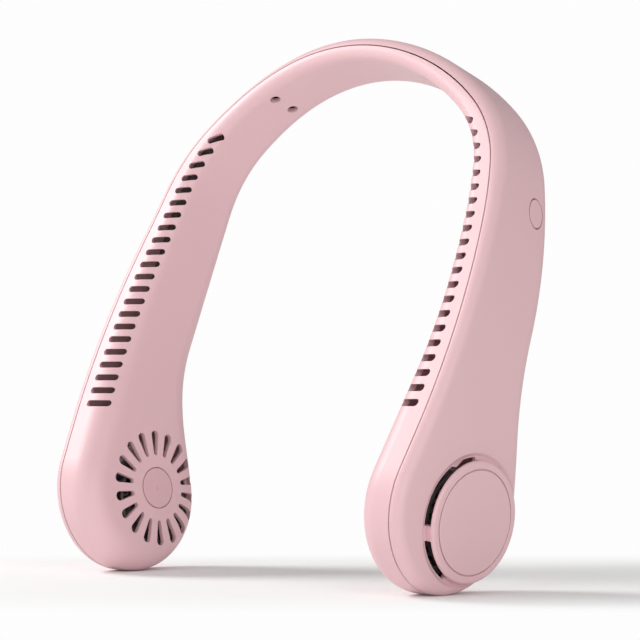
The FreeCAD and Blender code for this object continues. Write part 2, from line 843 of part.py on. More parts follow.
def make_stator():
    """Laminated core with its poles, and one coil round each pole."""
    core = ring(post_radius, yoke_radius, stator_low, stator_high)
    shoe = ring(pole_tip_radius - pole_tip_wall, pole_tip_radius, stator_low, stator_high)
    half_span = pole_tip_radius * math.tan(math.radians(half_turn / pole_count * pole_tip_share))
    wedge_points = [V(0, 0, stator_low), V(pole_tip_radius * 2, -half_span * 2, stator_low),
                    V(pole_tip_radius * 2, half_span * 2, stator_low), V(0, 0, stator_low)]
    wedge = Part.Face(Part.makePolygon(wedge_points)).extrude(V(0, 0, stator_height))
    tip = shoe.common(wedge)
    arm_start = (post_radius + yoke_radius) / 2
    arm_end = pole_tip_radius - pole_tip_wall / 2
    arm = block((arm_start, arm_end), (-pole_width / 2, pole_width / 2), (stator_low, stator_high))
    pole = tip.fuse(arm)
    degs = [i * full_turn / pole_count for i in range(pole_count)]
    both_pods("stator_core", fused([core] + [turned(pole, d) for d in degs]))
    start = yoke_radius + coil_gap
    end = pole_tip_radius - pole_tip_wall - coil_gap
    coil = block((start, end), (-coil_width / 2, coil_width / 2),
                 (stator_low - coil_overhang, stator_high + coil_overhang))
    upright = [e for e in coil.Edges if abs(e.tangentAt(e.FirstParameter).x) > 1 - loop_tolerance_share]
    coil = coil.makeFillet(coil_overhang, upright)
    coil = coil.cut(block((start, end), (-pole_width / 2, pole_width / 2), (stator_low, stator_high)))
    both_pods("coils", Part.Compound([turned(coil, d) for d in degs]))


def make_motor_mount():
    """Three-armed bracket with its post, the bush in the post, the ring board and the screws."""
    reach = bracket_screw_radius + bracket_boss_radius
    disc = cylinder(bracket_disc_radius, bracket_low, bracket_top)
    arms = []
    holes = []
    for d in bracket_angles():
        half = bracket_arm_width / 2
        arm = block((0.0, bracket_screw_radius), (-half, half), (bracket_low, bracket_top))
        arm = arm.fuse(cylinder(half, bracket_low, bracket_top, bracket_screw_radius))
        arms.append(turned(arm, d))
        holes.append(turned(cylinder(motor_screw_radius + screw_clearance, bracket_low, bracket_top,
                                     bracket_screw_radius), d))
    post = cylinder(post_radius, post_low, bracket_low)
    bore = cylinder(bush_radius, post_low, bracket_low)
    bracket = fused([disc, post] + arms).common(cylinder(reach, post_low, bracket_top))
    both_pods("motor_bracket", bracket.cut([bore] + holes))
    both_pods("bush", ring(shaft_radius + bush_clearance, bush_radius, post_low, bracket_low))
    both_pods("motor_board", ring(post_radius, motor_board_radius, motor_board_low,
                                  motor_board_low + motor_board_wall))
    head_low = bracket_low - motor_screw_head
    head = cylinder(motor_screw_head_radius, head_low, bracket_low, bracket_screw_radius)
    shank_end = bracket_top + motor_screw_grip - fit_gap
    shank = cylinder(motor_screw_radius, bracket_low, shank_end, bracket_screw_radius)
    across = (bracket_screw_radius - motor_screw_head_radius, bracket_screw_radius + motor_screw_head_radius)
    slot = block(across, (-screw_recess_width / 2, screw_recess_width / 2),
                 (head_low, bracket_low - motor_screw_head / 2))
    screw = head.fuse(shank).cut(slot)
    screws = Part.Compound([turned(screw, d) for d in bracket_angles()])
    both_pods("motor_screws", screws)


def make_scroll(room):
    """Scroll wall round the impeller: quarter arcs of growing radius, open towards the arm."""
    radius = impeller_radius + scroll_gap
    centre = (0.0, 0.0)
    edges = ([], [])
    start_deg = right_angle + right_angle / 2
    ends = []
    for i in range(scroll_arcs):
        first = start_deg - i * right_angle
        for k, extra in enumerate((0.0, scroll_wall)):
            points = [side_turn(centre, radius + extra, first - t * right_angle / 2) for t in range(3)]
            edges[k].append(Part.Arc(*[V(p[0], p[1], 0) for p in points]).toShape())
            if i == 0:
                ends.append(V(points[0][0], points[0][1], 0))
            if i == scroll_arcs - 1:
                ends.append(V(points[2][0], points[2][1], 0))
        centre = side_turn(centre, -scroll_step, first - right_angle)
        radius += scroll_step
    caps = [Part.makeLine(ends[0], ends[1]), Part.makeLine(ends[2], ends[3])]
    strip = wire_face(edges[0] + edges[1] + caps).extrude(V(0, 0, pod_wall))
    clear = cylinder(moat_top_radius, pod_wall - 2 * (wall + fit_gap), pod_wall)
    scroll = moved(strip, POD_FRAME).common(room).cut(moved(clear, POD_FRAME))
    shapes["right_scroll"] = scroll
    shapes["left_scroll"] = mirrored(scroll)


def make_duct(room):
    """Wall that parts the air duct at the front of the arm from the cells at its back."""
    low = slot_low + slot_width / 2
    high = low + (left_slot_count - 1) * slot_pitch
    slab = block((0.0, outer_nape_radius), (duct_back - duct_wall, duct_back), (low, high))
    wall_piece = room.common(slab)
    shapes["right_duct_wall"] = wall_piece
    shapes["left_duct_wall"] = mirrored(wall_piece)


button_point = ring_point(OUTER, button_deg)
board_low = button_point[1] - board_past_button * math.sin(math.radians(button_deg))
cell_top = board_low - cell_from_board - cell_tab_length
cell_bottom = cell_top - cell_length
cell_outer = min(arm_x(OUTER, cell_top), arm_x(OUTER, cell_bottom)) - wall - fit_gap - pad_least


def make_cells(room):
    """Flat cell in each arm, its tab end, and the foam pads that hold it between the walls."""
    cell = block((cell_outer - cell_wall, cell_outer), (cell_front, cell_front + cell_width),
                 (cell_bottom, cell_top))
    upright = [e for e in cell.Edges if abs(e.tangentAt(e.FirstParameter).z) > 1 - loop_tolerance_share]
    cell = cell.makeFillet(cell_round, upright)
    tab = block((cell_outer - cell_wall / 2 - cell_round, cell_outer - cell_wall / 2 + cell_round),
                (cell_front + cell_round, cell_front + cell_width - cell_round),
                (cell_top, cell_top + cell_tab_length))
    cell = cell.fuse(tab)
    shapes["right_cell"] = cell
    shapes["left_cell"] = mirrored(cell)
    heights = (cell_bottom + pad_margin, cell_top - pad_margin)
    depths = (cell_front + cell_round, cell_front + cell_width - cell_round)
    outside = block((cell_outer, cell_outer + overrun), depths, heights).common(room)
    inside = block((cell_outer - cell_wall - overrun, cell_outer - cell_wall), depths, heights).common(room)
    pads = Part.Compound(outside.Solids + inside.Solids)
    shapes["right_cell_pads"] = pads
    shapes["left_cell_pads"] = mirrored(pads)


flange_high = -wall - fit_gap
flange_low = flange_high - button_flange_wall
switch_top = switch_height - board_depth
plunger_low = switch_top - plunger_length / 2
plunger_high = plunger_low + plunger_length


def make_button():
    """Power button flush with the arm, kept in by two ears, its stem on the switch's plunger."""
    cap = oval(button_length, button_width, flange_low, overrun)
    cap = moved(cap, BUTTON_FRAME).common(BODY)
    ears = block((-button_flange_length / 2, button_flange_length / 2),
                 (-button_flange_width / 2, button_flange_width / 2), (flange_low, flange_high))
    stem = cylinder(button_stem_radius, plunger_high, flange_low)
    shapes["power_button"] = fused([cap, moved(ears, BUTTON_FRAME), moved(stem, BUTTON_FRAME)])
    shapes["switch_plunger"] = moved(cylinder(plunger_radius, plunger_low, plunger_high), BUTTON_FRAME)
    half = switch_size / 2
    body = block((-half, half), (-half, half), (-board_depth, switch_top))
    floor = plunger_low - button_travel - fit_gap
    body = body.cut(cylinder(plunger_radius + plunger_clearance, floor, switch_top))
    shapes["tact_switch"] = moved(body, BUTTON_FRAME)


def make_board():
    """Main board, its parts and the charging socket on its back edge."""
    along = (board_past_button - board_length, board_past_button)
    across = (board_front, board_front + board_width)
    board = block(along, across, (-board_depth - board_wall, -board_depth))
    shapes["main_board"] = moved(board, USB_FRAME)
    front = board_front + board_wall
    parts = []
    spots = ((along[0] + chip_size, chip_size, chip_size, chip_height),
             (along[1] - chip_size, coil_choke_size, coil_choke_size, coil_choke_height),
             (along[1] - 2 * coil_choke_size - chip_size, lead_socket_length, lead_socket_width,
              lead_socket_height))
    for x, length, width, height in spots:
        part = block((x - length / 2, x + length / 2), (front, front + width),
                     (-board_depth, height - board_depth))
        parts.append(part)
    shapes["board_parts"] = moved(Part.Compound(parts), USB_FRAME)

    rear = usb_mouth - usb_length
    tube = stadium(usb_width, usb_height, rear, usb_mouth)
    bore = stadium(usb_width - 2 * usb_skin, usb_height - 2 * usb_skin, rear + usb_tongue_gap, usb_mouth)
    tongue = block((-usb_tongue_width / 2, usb_tongue_width / 2),
                   (-usb_tongue_wall / 2, usb_tongue_wall / 2), (rear, usb_mouth - usb_tongue_gap))
    shapes["usb_socket"] = moved(usb_turned(fused([tube.cut(bore), tongue])), USB_FRAME)


def lead_run(inset, start_deg, end_deg, start_side):
    """Round lead along the inside of the outer shell, from one arm to a place on the right arm."""
    centres, radii, degs = OUTER
    depth = wall + fit_gap + lead_radius + inset
    pieces = []

    def piece(i, side, first, last):
        middle = (first + last) / 2
        points = [turn(centres[i], radii[i] - depth, d) for d in (first, middle, last)]
        pieces.append(Part.Arc(*[V(side * p[0], lead_depth, p[1]) for p in points]).toShape())

    if start_side < 0:
        for i in reversed(range(len(radii))):
            if degs[i] < start_deg:
                piece(i, -1, min(start_deg, degs[i + 1]), degs[i])
        for i in range(len(radii)):
            if degs[i] < end_deg:
                piece(i, 1, degs[i], min(end_deg, degs[i + 1]))
    else:
        piece(len(radii) - 1, 1, start_deg, end_deg)
    path = Part.Wire(pieces)
    first = pieces[0]
    profile = Part.Wire(Part.makeCircle(lead_radius, first.valueAt(first.FirstParameter),
                                        first.tangentAt(first.FirstParameter)))
    return path.makePipeShell([profile], True, False)


def make_leads():
    shapes["left_motor_lead"] = lead_run(0.0, motor_lead_deg, board_lead_deg, -1)
    shapes["left_cell_lead"] = lead_run(lead_spacing, cell_lead_deg, board_lead_deg, -1)
    shapes["right_motor_lead"] = lead_run(0.0, motor_lead_deg, right_lead_end_deg, 1)


def make_screws():
    """Four screws in the wells of the inner shell."""
    head = cylinder(screw_head_radius, screw_top, screw_well_depth)
    shank = cylinder(screw_radius, screw_well_depth, screw_tip)
    half = screw_recess_width / 2
    reach = screw_head_radius - screw_recess_width
    bars = [block((-reach, reach), (-half, half), (screw_top, screw_top + screw_recess_depth)),
            block((-half, half), (-reach, reach), (screw_top, screw_top + screw_recess_depth))]
    screw = head.fuse(shank).cut(bars)
    shapes["shell_screws"] = Part.Compound(both_sides([moved(screw, f) for f in screw_frames()]))


BODY = rounded(0.0)
CAVITY = rounded(wall)
ROOM = rounded(wall + fit_gap)
make_shells(BODY, CAVITY)
make_pod_covers()
make_impeller()
make_rotor()
make_stator()
make_motor_mount()
make_scroll(ROOM)
make_duct(ROOM)
make_cells(ROOM)
make_button()
make_board()
make_leads()
make_screws()

# Stands leaning back on its pods, origin under the middle of its box
lean = FreeCAD.Placement(V(0, 0, 0), FreeCAD.Rotation(V(1, 0, 0), -lean_deg))
box = moved(BODY, lean).optimalBoundingBox(False, False)
stand = FreeCAD.Placement(V(0, -(box.YMin + box.YMax) / 2, -box.ZMin), FreeCAD.Rotation())
os.makedirs("parts", exist_ok=True)
for name, shape in shapes.items():
    moved(shape, stand.multiply(lean)).exportStep("parts/" + name + ".step")


def report(name, frame):
    placed = stand.multiply(lean).multiply(frame)
    axis = placed.Rotation.multVec(V(0, 0, 1))
    print(name, [round(c, 4) for c in placed.Base], [round(c, 6) for c in axis])


report("right fan axis", POD_FRAME)
report("button axis", BUTTON_FRAME)
for name, shape in shapes.items():
    print(name, len(shape.Solids), round(shape.Volume, 1), shape.isValid())
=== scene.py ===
import json
import math
import bpy
from mathutils import Matrix, Vector


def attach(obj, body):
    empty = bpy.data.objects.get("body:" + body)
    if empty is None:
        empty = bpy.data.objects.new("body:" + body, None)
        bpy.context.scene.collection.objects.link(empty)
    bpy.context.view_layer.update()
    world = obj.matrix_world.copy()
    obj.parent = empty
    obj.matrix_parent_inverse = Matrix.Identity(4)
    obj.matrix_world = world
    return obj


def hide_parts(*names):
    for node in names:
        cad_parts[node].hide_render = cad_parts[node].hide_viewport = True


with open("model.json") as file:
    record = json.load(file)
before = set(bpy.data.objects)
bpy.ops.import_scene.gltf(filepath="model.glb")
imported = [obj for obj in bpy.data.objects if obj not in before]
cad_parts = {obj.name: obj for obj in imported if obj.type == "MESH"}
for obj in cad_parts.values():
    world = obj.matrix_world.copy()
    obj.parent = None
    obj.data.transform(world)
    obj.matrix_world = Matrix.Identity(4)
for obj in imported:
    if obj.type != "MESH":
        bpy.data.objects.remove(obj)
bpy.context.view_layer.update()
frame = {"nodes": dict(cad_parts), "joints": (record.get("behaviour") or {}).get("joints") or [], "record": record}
nodes = frame["nodes"]

mm = 0.001
per_metre = 1.0 / mm
full_turn = 2.0 * math.pi

# Lean of the standing band, and the fineness of the pieces that are made here
lean_deg = 15.9
sharp_deg = 40.0
hoop_steps = 72
hoop_corner_steps = 3
blade_corner_steps = 2
blade_steps = 9
wire_steps_per_turn = 28
wire_sides = 6
wire_overshoot_share = 1.15
hub_pin_hole = 0.05 * mm

# Softened edges, as the light sees them
shell_edge = 0.35 * mm
small_edge = 0.2 * mm
edge_samples = 6

# Noise of the finishes: cells per metre, shares of its span, and what a streak does to roughness
drift_cells = 22.0
touch_cells = 60.0
streak_cells = 2600.0
stain_cells = 240.0
noise_low_share = 0.3
noise_middle_share = 0.5
noise_high_share = 0.7
streak_spread = 0.08

# Camera at the photo's angle
camera_place = (0.511996, -0.537847, 0.061424)
camera_tilt_deg = 92.426
camera_turn_deg = 43.088
camera_lens_mm = 115.98
camera_sensor_mm = 36.0
camera_near = 0.01

# Floor and surrounding: the floor turns to plain white away from the fan
floor_half = 6.0
floor_tone = (0.965, 0.985, 0.985, 1.0)
floor_rough = 0.9
studio_white = (0.985, 0.985, 0.985, 1.0)
fade_reach = (2.2, 0.44, 1.0)
fade_start = 0.13
fade_end = 0.30
surround_tone = (1.0, 0.99, 0.985, 1.0)
surround_level = 0.42

# Lamps: place, target, size, watts, colour
white = (1.0, 1.0, 1.0)
warm_white = (1.0, 0.985, 0.965)
lamps = {
    "key": ((-1.10, -0.53, 0.88), (0.0, 0.0, 0.08), 0.6, 14.2, warm_white),
    "fill": ((0.95, -0.5, 0.32), (0.0, 0.0, 0.08), 0.8, 3.6, white),
    "front": ((0.05, -1.2, 0.45), (0.0, 0.0, 0.1), 0.9, 3.0, white),
}


# Colours of the finishes, as seen in plain daylight; the dark screw tone is also painted shade for the deep screw
# wells

def linear(r, g, b):
    """Linear colour from the 0 to 255 values of a screen."""
    out = []
    for c in (r, g, b):
        c = c / 255.0
        out.append(c / 12.92 if c <= 0.04045 else ((c + 0.055) / 1.055) ** 2.4)
    return (out[0], out[1], out[2], 1.0)


blush = linear(227, 188, 193)
blush_deep = linear(221, 180, 185)
duct_grey = linear(112, 106, 106)
wheel_taupe = linear(92, 82, 82)
dark_plastic = linear(58, 56, 57)
chip_black = linear(40, 40, 42)
steel = linear(178, 180, 184)
iron = linear(98, 99, 103)
magnet_black = linear(52, 52, 55)
# Black oxide screw tone, made darker also as painted shade for the deep wells the screws sit in
oxide_black_and_well_shade = linear(40, 36, 37)
copper = linear(196, 112, 66)
bronze = linear(178, 140, 86)
solder_mask = linear(28, 92, 58)
foil = linear(190, 192, 194)
foam_black = linear(44, 43, 44)
lead_red = linear(168, 42, 38)
lead_black = linear(34, 33, 35)


# Helpers for shader and geometry trees

def socket(tree, name, kind, inward=True, value=None):
    way = "INPUT" if inward else "OUTPUT"
    s = tree.interface.new_socket(name=name, in_out=way, socket_type=kind)
    if value is not None:
        s.default_value = value


def node(tree, kind, **settings):
    n = tree.nodes.new(kind)
    for key, value in settings.items():
        setattr(n, key, value)
    return n


def feed(tree, n, **links):
    """Joins outputs or plain values to a node's named inputs."""
    for key, value in links.items():
        target = n.inputs[key.replace("_", " ")]
        if isinstance(value, bpy.types.NodeSocket):
            tree.links.new(value, target)
        else:
            target.default_value = value
    return n


def sum_of(tree, a, b, operation="ADD", third=None, **settings):
    """Math node on two or three outputs or plain numbers."""
    n = node(tree, "ShaderNodeMath", operation=operation, **settings)
    values = (a, b) if third is None else (a, b, third)
    for i, value in enumerate(values):
        if isinstance(value, (int, float)):
            n.inputs[i].default_value = value
        else:
            tree.links.new(value, n.inputs[i])
    return n.outputs[0]


def point(tree, **parts):
    """Vector from the parts that are given; the others are zero."""
    return feed(tree, node(tree, "ShaderNodeCombineXYZ"), **parts).outputs[0]


# Shader parts that several finishes share

def noise(tree, place, **values):
    return feed(tree, node(tree, "ShaderNodeTexNoise"), Vector=place, **values).outputs["Fac"]


def swing(tree, value, amount, base):
    """Base value that a noise moves up and down by an amount."""
    centred = sum_of(tree, value, noise_middle_share, "SUBTRACT")
    return sum_of(tree, centred, amount, "MULTIPLY_ADD", third=base)


def tinted(tree, tone, level):
    n = node(tree, "ShaderNodeVectorMath", operation="SCALE")
    tree.links.new(tone, n.inputs[0])
    tree.links.new(level, n.inputs["Scale"])
    return n.outputs[0]


def skin_sockets(tree, values):
    """Interface of a finish: its tone and values go in; colour, roughness and grain come out."""
    socket(tree, "Tone", "NodeSocketColor")
    for label, value in values.items():
        socket(tree, label, "NodeSocketFloat", value=value)
    socket(tree, "Color", "NodeSocketColor", inward=False)
    socket(tree, "Roughness", "NodeSocketFloat", inward=False)
    socket(tree, "Height", "NodeSocketFloat", inward=False)
    return node(tree, "NodeGroupInput").outputs, node(tree, "NodeGroupOutput")


def moulded_skin_group():
    """Spark-eroded mould texture: fine grain, slow drift of tone, faint handling gloss."""
    g = bpy.data.node_groups.new("moulded_skin", "ShaderNodeTree")
    given, result = skin_sockets(g, {
        "Grain Size": 0.35, "Drift": 0.03, "Roughness": 0.45, "Roughness Spread": 0.08})
    place = node(g, "ShaderNodeTexCoord").outputs["Object"]
    cells = sum_of(g, per_metre, given["Grain Size"], "DIVIDE")
    grain = noise(g, place, Scale=cells, Detail=3.0, Roughness=0.65)
    slow = noise(g, place, Scale=drift_cells, Detail=2.0)
    touch = noise(g, place, Scale=touch_cells, Detail=4.0, Distortion=0.6)
    level = swing(g, grain, given["Drift"], swing(g, slow, given["Drift"], 1.0))
    feed(g, result, Color=tinted(g, given["Tone"], level), Height=grain,
         Roughness=swing(g, touch, given["Roughness Spread"], given["Roughness"]))
    return g


def drawn_metal_group():
    """Drawn or turned metal: fine streaks along one way, and a faint tarnish."""
    g = bpy.data.node_groups.new("drawn_metal", "ShaderNodeTree")
    given, result = skin_sockets(g, {"Streak Length": 12.0, "Roughness": 0.35, "Tarnish": 0.15})
    place = node(g, "ShaderNodeTexCoord").outputs["Object"]
    shrink = sum_of(g, 1.0, given["Streak Length"], "DIVIDE")
    drawn = node(g, "ShaderNodeMapping")
    feed(g, drawn, Vector=place, Scale=point(g, X=1.0, Y=1.0, Z=shrink))
    streak = noise(g, drawn.outputs[0], Scale=streak_cells, Detail=2.0)
    stain = noise(g, place, Scale=stain_cells, Detail=4.0)
    level = sum_of(g, 1.0, sum_of(g, stain, given["Tarnish"], "MULTIPLY"), "SUBTRACT")
    spread = node(g, "ShaderNodeMapRange")
    feed(g, spread, Value=streak, From_Min=noise_low_share, From_Max=noise_high_share,
         To_Min=-streak_spread, To_Max=streak_spread)
    feed(g, result, Color=tinted(g, given["Tone"], level), Height=streak,
         Roughness=sum_of(g, spread.outputs[0], given["Roughness"]))
    return g


moulded_skin = moulded_skin_group()
drawn_metal = drawn_metal_group()


# Finishes

def finish_with(name, group, values, grain_depth, edge=0.0, **shader_values):
    """Material of one shader fed by a shared group; constants sit on the shader's own sockets."""
    m = bpy.data.materials.new(name)
    m.use_nodes = True
    tree = m.node_tree
    shader = feed(tree, tree.nodes["Principled BSDF"], **shader_values)
    part = node(tree, "ShaderNodeGroup", node_tree=group)
    for key, value in values.items():
        part.inputs[key].default_value = value
    bump = node(tree, "ShaderNodeBump")
    feed(tree, bump, Strength=1.0, Distance=grain_depth, Height=part.outputs["Height"])
    if edge:
        soft = feed(tree, node(tree, "ShaderNodeBevel", samples=edge_samples), Radius=edge)
        feed(tree, bump, Normal=soft.outputs["Normal"])
    feed(tree, shader, Base_Color=part.outputs["Color"], Roughness=part.outputs["Roughness"],
         Normal=bump.outputs["Normal"])
    return m


def moulded(name, tone, grain=0.35, depth=0.01 * mm, rough=0.45, drift=0.03, **shader_values):
    values = {"Tone": tone, "Grain Size": grain, "Drift": drift, "Roughness": rough}
    return finish_with(name, moulded_skin, values, depth, **shader_values)


def metal(name, tone, streak=12.0, depth=0.003 * mm, rough=0.35, tarnish=0.15):
    values = {"Tone": tone, "Streak Length": streak, "Roughness": rough, "Tarnish": tarnish}
    return finish_with(name, drawn_metal, values, depth, Metallic=1.0)


finishes = {
    "shell_pink": moulded("satin_blush_shell", blush, depth=0.006 * mm, rough=0.46,
                          edge=shell_edge),
    "cap_disc": moulded("satin_blush_disc", blush, grain=0.3, rough=0.42, edge=small_edge),
    "badge": moulded("satin_blush_badge", blush_deep, grain=0.3, rough=0.42, edge=small_edge),
    "button_pink": moulded("satin_blush_button", blush, grain=0.3, rough=0.42, edge=small_edge),
    "impeller": moulded("taupe_fan_wheel", wheel_taupe, grain=0.5, rough=0.5),
    "rotor_steel": metal("drawn_rotor_steel", steel, rough=0.32),
    "magnet": moulded("sintered_magnet", magnet_black, grain=0.15, depth=0.02 * mm, rough=0.7),
    "shaft_steel": metal("ground_shaft_steel", steel, streak=1.0, rough=0.2, tarnish=0.05),
    "core_steel": metal("stacked_core_iron", iron, streak=0.05, depth=0.01 * mm, rough=0.5),
    "copper": metal("lacquered_copper", copper, streak=0.2, depth=0.02 * mm, rough=0.3),
    "bracket": moulded("dark_bracket_plastic", dark_plastic, grain=0.4, rough=0.55),
    "bronze": metal("sintered_bronze", bronze, streak=1.0, rough=0.5, tarnish=0.3),
    "board": moulded("green_solder_mask", solder_mask, grain=1.2, rough=0.3, drift=0.3),
    # Screws: black oxide finish, darkened further as painted shade inside the screw wells
    "screw_steel": metal("black_oxide_screw_and_painted_well_shade", oxide_black_and_well_shade, streak=1.0, rough=0.5, tarnish=0.25),
    "duct_plastic": moulded("grey_duct_plastic", duct_grey, grain=0.4, rough=0.55),
    "cell_foil": metal("crimped_cell_foil", foil, streak=3.0, depth=0.02 * mm, rough=0.4),
    "foam": moulded("black_foam", foam_black, grain=0.6, depth=0.15 * mm, rough=0.9, drift=0.4),
    "plunger": moulded("black_plunger", dark_plastic, rough=0.5),
    "switch": metal("pressed_switch_steel", steel, streak=6.0, rough=0.36),
    "chips": moulded("black_chip_resin", chip_black, grain=0.2, rough=0.6, drift=0.1),
    "socket_steel": metal("pressed_socket_steel", steel, streak=8.0, rough=0.3),
    "lead_red": moulded("red_lead_sleeve", lead_red, grain=0.3),
    "lead_black": moulded("black_lead_sleeve", lead_black, grain=0.3),
}

slots = {p["node"]: p["material_slot"] for p in frame["record"]["subparts"]}
for name, piece in nodes.items():
    piece.data.materials.clear()
    piece.data.materials.append(finishes[slots[name]])


# Pieces of the fan motors, each drawn about its fan axis: Z outwards, X down the band, Y back

def pod_matrix(side):
    """Place of a pod's fan axis; the left pod is the right one mirrored."""
    spin = next(j for j in frame["joints"] if j["name"] == "right_fan_spin")
    lean = math.radians(lean_deg)
    back_way = Vector((0.0, math.cos(lean), -math.sin(lean)))
    axis = Vector(spin["axis"]).normalized()
    down = back_way.cross(axis).normalized()
    turn = Matrix((down, axis.cross(down), axis)).transposed().to_4x4()
    place = Matrix.Translation(Vector(spin["pos_m"])) @ turn
    mirror = Matrix.Diagonal((-1.0, 1.0, 1.0, 1.0))
    return mirror @ place if side == "left" else place


def maker_tree(name, sizes):
    """New geometry tree with one named input per size and a finish for the result."""
    tree = bpy.data.node_groups.new(name, "GeometryNodeTree")
    for label, value in sizes.items():
        kind = "NodeSocketInt" if isinstance(value, int) else "NodeSocketFloat"
        socket(tree, label, kind, value=value)
    socket(tree, "Finish", "NodeSocketMaterial")
    socket(tree, "Geometry", "NodeSocketGeometry", inward=False)
    return tree, node(tree, "NodeGroupInput").outputs


def half_of(tree, value):
    return sum_of(tree, value, 0.5, "MULTIPLY")


def soft_section(tree, width, height, corner, corner_steps):
    """Rectangle with rounded corners, for sweeping along a path."""
    section = node(tree, "GeometryNodeCurvePrimitiveQuadrilateral")
    feed(tree, section, Width=width, Height=height)
    soft = node(tree, "GeometryNodeFilletCurve", mode="POLY")
    feed(tree, soft, Curve=section.outputs[0], Count=corner_steps, Radius=corner)
    return soft.outputs[0]


def swept(tree, path, section, caps=False):
    sweep = node(tree, "GeometryNodeCurveToMesh")
    feed(tree, sweep, Curve=path, Profile_Curve=section, Fill_Caps=caps)
    return sweep.outputs[0]


def lifted(tree, shape, height):
    shift = node(tree, "GeometryNodeTransform")
    return feed(tree, shift, Geometry=shape, Translation=point(tree, Z=height)).outputs[0]


def hoop(tree, radius, width, height, low, corner):
    """Ring of rounded rectangular section: its middle radius, its width, its height above low."""
    path = node(tree, "GeometryNodeCurvePrimitiveCircle")
    feed(tree, path, Resolution=hoop_steps, Radius=radius)
    section = soft_section(tree, width, height, corner, hoop_corner_steps)
    band = swept(tree, path.outputs[0], section)
    return lifted(tree, band, sum_of(tree, low, half_of(tree, height)))


def ring_of(tree, shape, count):
    """Copies of a shape turned evenly about Z."""
    spots = feed(tree, node(tree, "GeometryNodePoints"), Count=count)
    index = node(tree, "GeometryNodeInputIndex").outputs[0]
    step = sum_of(tree, full_turn, count, "DIVIDE")
    spin = point(tree, Z=sum_of(tree, index, step, "MULTIPLY"))
    copies = node(tree, "GeometryNodeInstanceOnPoints")
    feed(tree, copies, Points=spots.outputs[0], Instance=shape, Rotation=spin)
    return copies.outputs[0]


def close_tree(tree, finish, shapes):
    """Joins the shapes into one plain mesh with its finish."""
    join = node(tree, "GeometryNodeJoinGeometry")
    for shape in shapes:
        tree.links.new(shape, join.inputs[0])
    plain = feed(tree, node(tree, "GeometryNodeRealizeInstances"), Geometry=join.outputs[0])
    dress = node(tree, "GeometryNodeSetMaterial")
    feed(tree, dress, Geometry=plain.outputs[0], Material=finish)
    tree.links.new(dress.outputs[0], node(tree, "NodeGroupOutput").inputs[0])
    return tree


def made_piece(tree, name, finish, matrix):
    """Runs a tree once and leaves its result as a plain mesh at its place."""
    host = bpy.data.objects.new(name, bpy.data.meshes.new(name + "_start"))
    bpy.context.scene.collection.objects.link(host)
    maker = host.modifiers.new("maker", "NODES")
    maker.node_group = tree
    for item in tree.interface.items_tree:
        if item.in_out == "INPUT":
            maker[item.identifier] = finish if item.name == "Finish" else item.default_value
    graph = bpy.context.evaluated_depsgraph_get()
    mesh = bpy.data.meshes.new_from_object(host.evaluated_get(graph))
    host.modifiers.remove(maker)
    host.data = mesh
    mesh.transform(matrix)
    if matrix.determinant() < 0:
        mesh.flip_normals()
    mesh.shade_smooth()
    mesh.set_sharp_from_angle(angle=math.radians(sharp_deg))
    return host


def fan_wheel_tree():
    """Blower wheel: bowed blades between two tie rings, a web and the cup that holds the rotor."""
    tree, size = maker_tree("fan_wheel", {
        "Blade Count": 24, "Rim Radius": 16.6 * mm, "Root Radius": 12.6 * mm,
        "Blade Low": 3.0 * mm, "Blade Height": 12.6 * mm, "Blade Wall": 0.8 * mm,
        "Bow": 1.5 * mm, "Tie Width": 1.3 * mm, "Tie Height": 0.9 * mm,
        "Hub Radius": 10.8 * mm, "Hub Wall": 0.75 * mm, "Hub Low": 5.2 * mm,
        "Hub Height": 9.4 * mm, "Face Wall": 1.0 * mm, "Web Reach": 13.9 * mm,
        "Web Wall": 1.0 * mm, "Corner": 0.25 * mm})
    corner = size["Corner"]
    middle = sum_of(tree, size["Blade Low"], half_of(tree, size["Blade Height"]))

    rim = sum_of(tree, size["Rim Radius"], half_of(tree, size["Blade Wall"]), "SUBTRACT")
    waist = half_of(tree, sum_of(tree, size["Root Radius"], rim))
    camber = node(tree, "GeometryNodeCurveArc", mode="POINTS")
    feed(tree, camber, Resolution=blade_steps, Start=point(tree, X=size["Root Radius"]),
         Middle=point(tree, X=waist, Y=size["Bow"]), End=point(tree, X=rim))
    upright = node(tree, "GeometryNodeSetCurveNormal", mode="Z_UP")
    feed(tree, upright, Curve=camber.outputs[0])
    between = sum_of(tree, size["Blade Height"], size["Tie Height"], "SUBTRACT")
    section = soft_section(tree, size["Blade Wall"], between, corner, blade_corner_steps)
    blade = lifted(tree, swept(tree, upright.outputs[0], section, caps=True), middle)
    shapes = [ring_of(tree, blade, size["Blade Count"])]

    tie = sum_of(tree, size["Rim Radius"], half_of(tree, size["Tie Width"]), "SUBTRACT")
    blade_top = sum_of(tree, size["Blade Low"], size["Blade Height"])
    upper_tie = sum_of(tree, blade_top, size["Tie Height"], "SUBTRACT")
    for low in (size["Blade Low"], upper_tie):
        shapes.append(hoop(tree, tie, size["Tie Width"], size["Tie Height"], low, corner))

    cup = sum_of(tree, size["Hub Radius"], half_of(tree, size["Hub Wall"]), "SUBTRACT")
    shapes.append(hoop(tree, cup, size["Hub Wall"], size["Hub Height"], size["Hub Low"], corner))
    face_width = sum_of(tree, size["Hub Radius"], hub_pin_hole, "SUBTRACT")
    face = half_of(tree, size["Hub Radius"])
    shapes.append(hoop(tree, face, face_width, size["Face Wall"], size["Hub Low"], corner))

    reach = sum_of(tree, size["Web Reach"], size["Hub Radius"], "SUBTRACT")
    web = sum_of(tree, size["Hub Radius"], half_of(tree, reach))
    shapes.append(hoop(tree, web, reach, size["Web Wall"], middle, corner))
    return close_tree(tree, size["Finish"], shapes)


